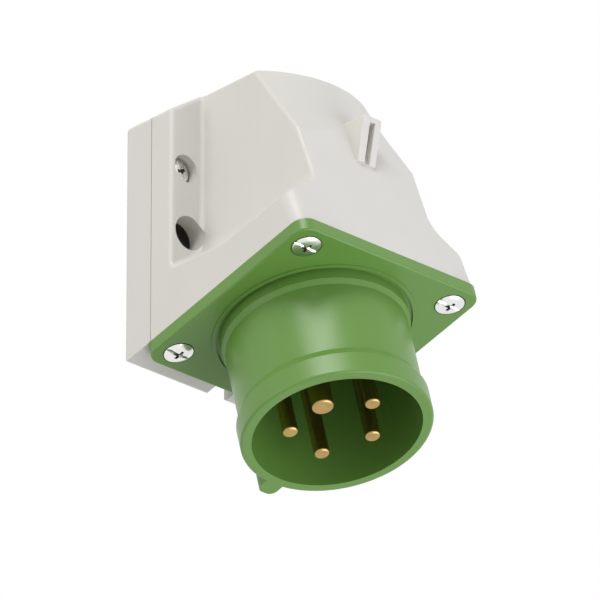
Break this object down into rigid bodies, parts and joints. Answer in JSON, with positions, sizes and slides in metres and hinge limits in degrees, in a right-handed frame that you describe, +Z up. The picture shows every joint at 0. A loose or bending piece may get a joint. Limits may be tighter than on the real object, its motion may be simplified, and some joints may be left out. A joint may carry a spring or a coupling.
{
  "type": "cee wall inlet",
  "caption": "Surface-mounted power inlet: moulded hood on a shallow back box, with a tilted square flange and round collar round its contact pins.",
  "frame": {"origin": "on the wall's face, midway between the two wall-fixing holes", "axes": "+X to the right seen from the front, +Y into the wall, +Z up; the collar opens down and away from the wall"},
  "size_m": [0.075, 0.0849, 0.1293],
  "materials": {
    "housing": "pale warm grey moulded plastic, semi-gloss",
    "collar": "green moulded plastic, semi-gloss",
    "carrier": "dark green moulded plastic, satin",
    "pins": "turned brass, smooth",
    "screws": "bright plated steel",
    "plated_steel": "zinc-plated steel, satin",
    "seal": "black sealing rubber, matte",
    "grommet": "grey rubber, matte"
  },
  "bodies": {
    "root": {"back_box": "housing", "hood": "housing", "hood_seal": "seal", "hood_screws": "screws", "flange_collar": "collar", "flange_gasket": "seal", "flange_screws": "screws", "pin_carrier": "carrier", "pin_retainer": "carrier", "retainer_screws": "plated_steel", "carrier_screws": "plated_steel", "pin_earth": "pins", "pin_neutral": "pins", "pin_l1": "pins", "pin_l2": "pins", "pin_l3": "pins", "terminal_screws": "plated_steel", "wire_guards": "plated_steel", "cable_grommet": "grommet"}
  },
  "joints": []
}
